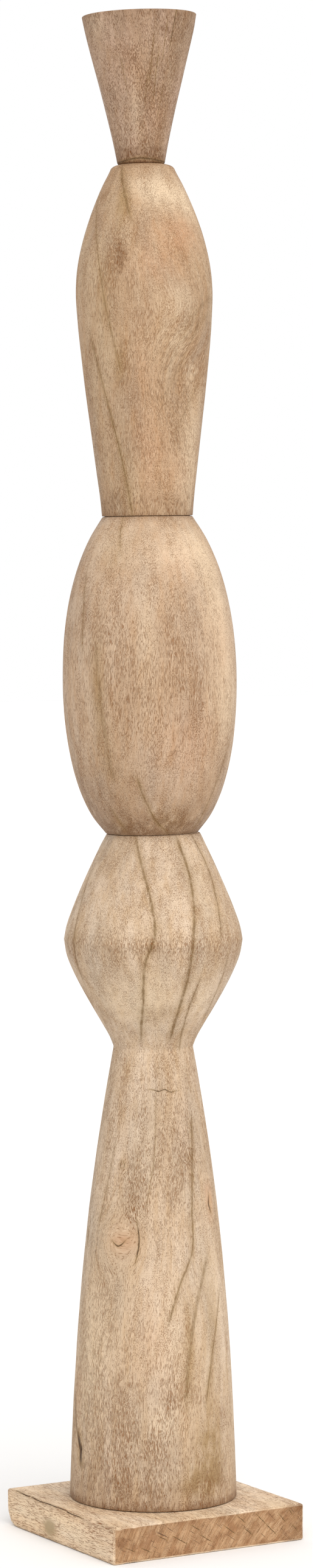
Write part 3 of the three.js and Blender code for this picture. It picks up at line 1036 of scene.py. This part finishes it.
def beech(name):
    """Dowel wood: pale and even, with short rays."""
    s = Shading(name)
    place = s.node("ShaderNodeTexCoord").outputs["Object"]
    broad = s.noise(place, (6 * MM, 6 * MM, 40 * MM), detail=3)
    distance, chance = s.cells(place, (0.9 * MM, 0.9 * MM, 3 * MM))
    rays = s.times(s.ramp(distance, 0.35, 0.1), s.math("LESS_THAN", chance, 0.5))
    colour = s.mix(s.ramp(broad, 0.3, 0.7), tint("e4c9a0"), tint("d6b184"))
    colour = s.mix(s.times(rays, 0.5), colour, tint("a9794c"))
    s.set(Base_Color=colour, Roughness=s.add(0.6, s.times(rays, 0.15)))
    s.raise_by(s.times(rays, -1.0), 0.05 * MM)
    return s.material


def plated_steel(name):
    """Yellow zinc plate, a little uneven."""
    s = Shading(name)
    place = s.node("ShaderNodeTexCoord").outputs["Object"]
    tone = s.noise(place, (2 * MM, 2 * MM, 2 * MM), detail=4, roughness=0.6)
    scuff = s.noise(place, (0.25 * MM, 0.25 * MM, 2 * MM), detail=3, start=3)
    colour = s.mix(s.ramp(tone, 0.35, 0.65), tint("d8c07a"), tint("b99a5c"))
    s.set(Base_Color=colour, Metallic=1, Roughness=s.ramp(scuff, 0.3, 0.7, 0.24, 0.42))
    s.raise_by(scuff, 0.01 * MM)
    return s.material


def pale_floor(name):
    """A dull near-white, a little cloudy."""
    s = Shading(name)
    place = s.node("ShaderNodeTexCoord").outputs["Object"]
    cloud = s.noise(place, (0.5, 0.5, 0.5), detail=2)
    colour = s.mix(s.ramp(cloud, 0.2, 0.8), tint("e9e8e7"), tint("e6e5e4"))
    s.set(Base_Color=colour, Roughness=0.85, Specular_IOR_Level=0.1)
    return s.material


# ======== The pieces ========

def settle(piece, node, material):
    """Gives a finished piece its material, and puts it in its CAD node's place."""
    piece.data.materials.clear()
    piece.data.materials.append(material)
    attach(piece, "root")
    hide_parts(node)


def small_piece(name, points, rings):
    """A dowel, a screw or a cutter, made of the points of its rings."""
    return new_piece(name, points, ring_faces(len(rings), SMALL_SEGMENTS))


def screw_cutters():
    """A cutter for each screw's countersink, clearance hole and pilot hole."""
    cutters = []
    for node in SCREWS:
        rod = Rod(node)
        head = rod.radius + SCREW_CLEARANCE
        shank = SCREW_SHANK_RADIUS + SCREW_CLEARANCE
        below = -rod.centre.z - CUT_MARGIN
        rings = [
            Ring(below, head / 2),
            Ring(below, head),
            Ring(0, head),
            Ring(SCREW_HEAD_HEIGHT, shank),
            Ring(rod.length + CUT_MARGIN, shank),
            Ring(rod.length + CUT_MARGIN, shank / 2),
        ]
        cutters.append(small_piece(node + "_hole", ring_points(rod, rings, SMALL_SEGMENTS), rings))
    return cutters


def turned_piece(
    node, slot, look, figure, dents=(), screwed=False,
    pith=FAR_PITH, end_reach=FAR_REACH, vessel=FINE_VESSEL, **block
):
    """Makes one turned block. block says which dowels it has and how its edges are eased."""
    piece, turning = turned_block(node, **block)
    weather(piece, turning, dents)
    if screwed:
        cut(piece, screw_cutters())
    figure_block(piece, turning, figure)
    material = wood(node + "_wood", look, len(figure.lines), pith, end_reach, vessel)
    settle(piece, node, material)


def dowel(node, material):
    """A fluted dowel with chamfered ends."""
    rod = Rod(node)
    inner = np.linspace(0, rod.length, 12)[1:-1]
    heights = [0, DOWEL_CHAMFER, *inner, rod.length - DOWEL_CHAMFER, rod.length]
    end_radius = rod.radius - DOWEL_CHAMFER
    radii = [end_radius, *[rod.radius] * (len(heights) - 2), end_radius]
    rings = [Ring(0, rod.radius / 2), *map(Ring, heights, radii), Ring(rod.length, rod.radius / 2)]
    points = ring_points(rod, rings, SMALL_SEGMENTS)
    x, y, height = rod.local(points)
    turn = np.arctan2(y, x) * DOWEL_FLUTES
    groove = FLUTE_DEPTH * np.clip(np.cos(turn), 0, 1) ** 2 * (np.hypot(x, y) > rod.radius * 0.6)
    scale = 1 - groove / rod.radius
    piece = small_piece(node + "_beech", rod.world(x * scale, y * scale, height), rings)
    settle(piece, node, material)


def in_slot(across, along):
    """Whether points lie in one arm of a screw's cross recess."""
    return (np.abs(across) < RECESS_WIDTH / 2) & (np.abs(along) < RECESS_SPAN / 2)


def screw(node, material):
    """A countersunk screw with a cross recess and a real thread."""
    rod = Rod(node)
    face = [Ring(0, radius) for radius in np.arange(SCREW_FACE_STEP, rod.radius, SCREW_FACE_STEP)]
    neck = [Ring(SCREW_HEAD_RIM, rod.radius), Ring(SCREW_HEAD_HEIGHT, SCREW_SHANK_RADIUS)]
    plain = [Ring(SCREW_PLAIN_LENGTH - SCREW_PITCH, SCREW_SHANK_RADIUS)]
    heights = np.arange(SCREW_PLAIN_LENGTH, rod.length, SCREW_PITCH / RINGS_PER_PITCH)
    rings = [*face, *neck, *plain, *[Ring(height, SCREW_SHANK_RADIUS) for height in heights]]
    x, y, height = rod.local(ring_points(rod, rings, SMALL_SEGMENTS))
    recess = (height < SCREW_FACE_BAND) & (in_slot(x, y) | in_slot(y, x))
    narrowing = 1 - np.hypot(x, y) / RECESS_SPAN
    height = height + recess * RECESS_DEPTH * narrowing
    phase = (height / SCREW_PITCH - np.arctan2(y, x) / (2 * math.pi)) % 1
    crest = np.clip(1 - np.abs(phase - 0.5) * THREAD_SHARPNESS, 0, 1)
    threaded = smoothstep(SCREW_PLAIN_LENGTH - SCREW_PITCH, SCREW_PLAIN_LENGTH + SCREW_PITCH, height)
    tip = 1 - TIP_TAPER * smoothstep(rod.length - SCREW_TIP_LENGTH, rod.length, height)
    thread = SCREW_CORE_RADIUS + (SCREW_SHANK_RADIUS - SCREW_CORE_RADIUS) * crest
    scale = 1 + threaded * (thread / SCREW_SHANK_RADIUS * tip - 1)
    piece = small_piece(node + "_steel", rod.world(x * scale, y * scale, height), rings)
    settle(piece, node, material)


# ---- The board ----

EDGE_WEAR_REACH = 2.2 * MM
RUB_SIZE = 14 * MM
RUB_DEPTH = 0.3
CHIP_SIZE = 5 * MM
CHIP_DEPTH = 2.2
DUB_DEPTH = 2.4 * MM
DUB_REACH = 6 * MM
CHECK_HALF_WIDTH = 0.17
CHECK_STRENGTH = 1.8
CRACK_HALF_WIDTH = 0.26
CRACK_STRENGTH = 2.0
FACE_FADE = (2.5, 0.6)  # a side face's marks fade in between these distances from it
BOARD_PITH = (137, -92, 0)  # the heart of the tree lay beyond the board's lower right
KNOT_ON_BOARD = (11.6, 8.2, 7.4, 5)  # along Y, up, and its half sizes, on the side that faces -X
CRACK_ON_BOARD = ((58, 22.0), (40, 21.9), (20, 21.6), (0, 21.8), (-10, 21.4), (-28, 21.0))  # along Y and up
# Checks in the sawn front: the middle of each, along X and up from the board's middle, and half its length.
BOARD_CHECKS = (
    (-55, -3, 5), (-44, -4.5, 5), (-33, 1.5, 5), (-21, -1, 7), (-10, 5, 5), (-3, -2, 6), (14, 1, 6),
    (22, 6.5, 5), (27, -1.5, 5), (36, 5, 6), (43, -2, 6), (51, 4, 5), (57, 7, 3.5), (60, -3, 4),
)


def grid_lines(half, ease, step):
    """Places along one side of the board: close together over the eased edges, then evenly."""
    edge = half - ease * np.array([0, 0.25, 0.5, 0.75, 1, 1.8, 3])
    inner = edge[-1]
    middle = np.linspace(-inner, inner, max(2, round(2 * inner / step)) + 1)
    return np.r_[-edge[:-1], middle, edge[:-1][::-1]]


def block_skin(halves, ease, step):
    """The points and faces of a block's skin, as six grids that share their edges."""
    lines = [grid_lines(half, ease, step) for half in halves]
    points, faces, count = [], [], 0
    for across in range(3):
        u, v = (across + 1) % 3, (across + 2) % 3
        for side in (-1, 1):
            a, b = np.meshgrid(lines[u], lines[v], indexing="ij")
            face = np.empty((*a.shape, 3))
            face[..., across], face[..., u], face[..., v] = side * halves[across], a, b
            rows, columns = a.shape
            i, j = np.meshgrid(np.arange(rows - 1), np.arange(columns - 1), indexing="ij")
            first = count + i * columns + j
            quad = np.stack([first, first + columns, first + columns + 1, first + 1], axis=-1)
            faces.append(quad.reshape(-1, 4)[:, ::side])
            points.append(face.reshape(-1, 3))
            count += rows * columns
    points = np.vstack(points)
    _, first, index = np.unique(np.round(points, 7), axis=0, return_index=True, return_inverse=True)
    return points[first], index.ravel()[np.vstack(faces)]


def round_edges(points, halves, ease):
    """Pulls the skin's edges in to a round of the ease's radius."""
    inner = np.clip(points, -np.array(halves) + ease, np.array(halves) - ease)
    out = points - inner
    length = np.maximum(np.linalg.norm(out, axis=1), 1e-9)
    return inner + out * (ease / length)[:, None]


def wear(points, halves):
    """Rubs the board's edges unevenly, chips them here and there, and dubs one corner."""
    gap = np.sort(np.array(halves) - np.abs(points), axis=1)
    edge = spot(np.hypot(gap[:, 0], gap[:, 1]) / EDGE_WEAR_REACH)
    inwards = -points / np.array(halves)
    inwards /= np.maximum(np.linalg.norm(inwards, axis=1), 1e-9)[:, None]
    rub = np.zeros(len(points))
    for i in np.where(edge > 0.02)[0]:
        place = Vector(points[i])
        soft = 0.5 + 0.5 * noise.noise(place / RUB_SIZE)
        chip = max(0.0, noise.noise(place / CHIP_SIZE + Vector((7, 3, 5))) - 0.32)
        rub[i] = (RUB_DEPTH * soft + CHIP_DEPTH * chip) * MM
    corner = np.array([-halves[0], halves[1], -halves[2]])
    dub = DUB_DEPTH * spot(np.linalg.norm(points - corner, axis=1) / DUB_REACH)
    moved = points + inwards * (edge * rub + dub)[:, None]
    moved[:, 2] = np.maximum(moved[:, 2], -halves[2])
    return moved


def store_checks(mesh, x, z, front):
    """Stores a line for each check, which runs straight out from the heart of the tree."""
    for i, (at_x, at_z, half_length) in enumerate(BOARD_CHECKS, start=1):
        out = np.array([at_x - BOARD_PITH[0], at_z - BOARD_PITH[1]], dtype=float)
        out /= np.hypot(*out)
        along = (x - at_x) * out[0] + (z - at_z) * out[1]
        away = (z - at_z) * out[0] - (x - at_x) * out[1] + 0.1 * np.sin(along * 1.3 + i)
        fade = smoothstep(half_length, half_length - 3, np.abs(along)) * front
        away = np.clip(away, -FIELD_REACH, FIELD_REACH)
        store(mesh, f"line_{i}", away, CHECK_STRENGTH * fade, np.full(len(x), CHECK_HALF_WIDTH))


def board_fields(mesh, middle):
    """Stores the board's fields: side faces -X, front faces -Y, and each fades out at its edges."""
    points = (points_of(mesh) - middle) / MM
    x, y, z = points.T
    up = points_of(mesh)[:, 2] / MM
    side, front = (smoothstep(v.min() + FACE_FADE[0], v.min() + FACE_FADE[1], v) for v in (x, y))
    top = smoothstep(z.max() - 1, z.max() - 0.1, z)
    store(mesh, "grain", x + 1.2 * np.sin(y / 30), z, y)

    along, heights = zip(*sorted(CRACK_ON_BOARD))
    fade = smoothstep(along[0] - 4, along[0] + 8, y) * smoothstep(along[-1] + 3, along[-1] - 3, y)
    away = up - glide(along, heights, y) + 0.1 * np.sin(y / 3)
    store(mesh, "line_0", away, CRACK_STRENGTH * side * fade, np.full(len(x), CRACK_HALF_WIDTH))
    store_checks(mesh, x, z, front)

    at, height, wide, tall = KNOT_ON_BOARD
    knot = np.hypot((y - at) / wide, (up - height) / tall) + 0.15 * np.sin(y * 1.1) * np.cos(up * 0.9)
    store(mesh, "filler", side * smoothstep(1.25, 0.6, knot))
    olive = side * 0.6 * spot(np.hypot((y - at) / 10, (up - height + 4) / 7))
    right_end = smoothstep(x.max() - 18, x.max() - 2, x)
    left_end = spot(np.hypot((x - x.min() - 6) / 9, (z - 4) / 5))
    near = side * smoothstep(-10, -60, y)
    # Brown: dark ends of the sawn front, and on the side face a darker foot and a darker front part; on the
    # top it is painted shade.
    brown = front * (0.9 * right_end + 0.8 * left_end) + 0.4 * side * spot((z - z.min()) / 3)
    brown = brown + 0.35 * near + 0.35 * top
    edge_gap = np.minimum(x.max() - np.abs(x), y.max() - np.abs(y))
    rim = 0.7 * spot(edge_gap / 1.2) * spot((z.max() - z) / 2.5)
    store(mesh, "tones", olive, np.clip(brown, 0, 1), np.zeros(len(x)))
    # On the side face the pale share is painted light.
    store(mesh, "faces", 0.45 * side + 0.3 * top, 0.3 * side + 0.15 * top, rim)
    store(mesh, "end", end_grain(mesh, (0, 1, 0)))


def board(node):
    """Makes the board: a block with rounded, worn edges and four screw holes."""
    low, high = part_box(node)
    middle = np.array((low + high) / 2)
    halves = (high - low) / 2
    points, faces = block_skin(halves, BOARD_EASE, BOARD_STEP)
    points = wear(round_edges(points, halves, BOARD_EASE), halves)
    piece = new_piece(node + "_wood", points + middle, faces.tolist())
    cut(piece, screw_cutters())
    board_fields(piece.data, middle)
    lines = 1 + len(BOARD_CHECKS)
    material = wood(
        node + "_wood", BOARD_LOOK, lines, BOARD_PITH, BOARD_REACH, BOARD_VESSEL, filler=True
    )
    settle(piece, node, material)


# ======== The scene round it ========

def floor():
    """A wide floor just under the board."""
    sides = ((-1, -1), (1, -1), (1, 1), (-1, 1))
    corners = [(x * FLOOR_REACH, y * FLOOR_REACH, -FLOOR_DROP) for x, y in sides]
    piece = new_piece("floor", corners, [(0, 1, 2, 3)])
    piece.data.materials.append(pale_floor("pale_floor"))


def key_light():
    """A wide soft light from far off."""
    light = bpy.data.lights.new("key", "SUN")
    light.angle = math.radians(KEY_SPREAD)
    light.energy = KEY_STRENGTH
    light.color = KEY_COLOUR
    lamp = bpy.data.objects.new("key", light)
    heading = math.radians(VIEW_AZIMUTH + KEY_AZIMUTH)
    lamp.rotation_euler = (math.radians(90 - KEY_ELEVATION), 0, heading)
    bpy.context.scene.collection.objects.link(lamp)


def studio():
    """An even white sky and the key light."""
    world = bpy.data.worlds.new("studio")
    world.use_nodes = True
    background = world.node_tree.nodes["Background"]
    background.inputs["Color"].default_value = (1, 1, 1, 1)
    background.inputs["Strength"].default_value = SKY_STRENGTH
    bpy.context.scene.world = world
    key_light()
    bpy.context.scene.view_settings.view_transform = "Standard"


def camera(column):
    """Sets up the view of a column that stands at this place."""
    data = bpy.data.cameras.new("camera")
    data.sensor_fit = "VERTICAL"
    data.sensor_height = SENSOR
    data.lens = LENS
    data.clip_end = CLIP_END
    eye = bpy.data.objects.new("camera", data)
    heading = math.radians(FRONT_HEADING)
    eye.location = (
        column.x + CAMERA_DISTANCE * math.cos(heading),
        column.y + CAMERA_DISTANCE * math.sin(heading),
        CAMERA_HEIGHT,
    )
    turn = math.radians(VIEW_AZIMUTH + CAMERA_PAN)
    eye.rotation_euler = (math.radians(90 + CAMERA_PITCH), 0, turn)
    bpy.context.scene.collection.objects.link(eye)
    bpy.context.scene.camera = eye


camera(Rod("leg_and_hips").centre)
studio()
floor()

board("base_board")
turned_piece(
    "leg_and_hips",
    "turned_wood",
    LEG_LOOK,
    LEG,
    dents=(Dent(203, 63, 1.6, 3.4, 1.2), Dent(55, -62, 1.6, 3, 1.0), Dent(181, -27, 2.5, 2, 0.3)),
    screwed=True,
    top_dowel="belly_dowel",
    foot_ease=FOOT_EASE,
)
turned_piece(
    "belly",
    "turned_wood",
    BELLY_LOOK,
    BELLY,
    foot_dowel="belly_dowel",
    top_dowel="torso_dowel",
    foot_ease=SEAM_EASE,
)
turned_piece(
    "torso",
    "turned_wood",
    TORSO_LOOK,
    TORSO,
    foot_dowel="torso_dowel",
    top_dowel="head_dowel",
    foot_ease=SEAM_EASE,
)
turned_piece(
    "head",
    "head_wood",
    HEAD_LOOK,
    HEAD,
    pith=(HEAD.start * BLOCK_STEP[0] - 6, HEAD.start * BLOCK_STEP[1] + 4, 0),
    end_reach=HEAD_REACH,
    vessel=HEAD_VESSEL,
    foot_dowel="head_dowel",
    top_ease=CROWN_EASE,
)

beech_wood = beech("beech")
for node in ("belly_dowel", "torso_dowel", "head_dowel"):
    dowel(node, beech_wood)

zinc_steel = plated_steel("zinc_steel")
for node in SCREWS:
    screw(node, zinc_steel)
